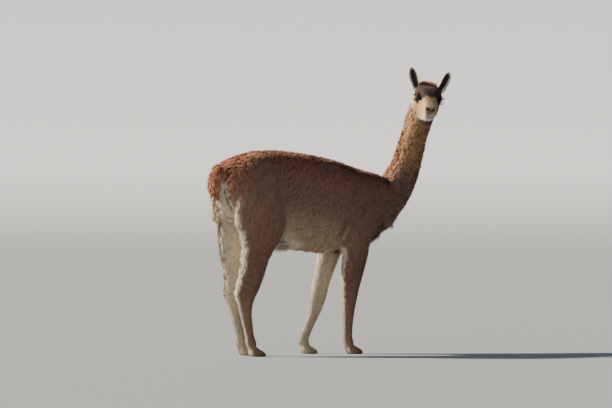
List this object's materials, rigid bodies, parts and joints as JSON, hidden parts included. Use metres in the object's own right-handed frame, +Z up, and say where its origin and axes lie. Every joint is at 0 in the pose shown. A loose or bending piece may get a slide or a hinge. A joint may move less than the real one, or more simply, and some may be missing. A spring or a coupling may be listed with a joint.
{
  "type": "vicuna",
  "caption": "Life-size standing vicuna looking back over its right shoulder, with clumped neck fleece, breast fringe and locks on thighs and tail.",
  "frame": {"origin": "on the floor, under the middle of the outline's box", "axes": "+Z up; the body faces -Y, its left side is towards +X and its head is turned to -X and back"},
  "size_m": [0.338, 1.3048, 1.303],
  "materials": {
    "coat": "matt woolly coat, red-brown above and paler on the flank",
    "neck_coat": "matt curly fleece, tan",
    "face_coat": "matt short hair",
    "leg_coat": "matt short hair, pale behind and inside",
    "ear_coat": "matt short hair",
    "eye": "wet gloss, near black"
  },
  "bodies": {
    "root": {"torso": "coat", "tail": "coat", "neck": "neck_coat", "head": "face_coat", "ear_left": "ear_coat", "ear_right": "ear_coat", "eye_left": "eye", "eye_right": "eye", "leg_fore_left": "leg_coat", "leg_fore_right": "leg_coat", "leg_hind_left": "leg_coat", "leg_hind_right": "leg_coat"}
  },
  "joints": []
}
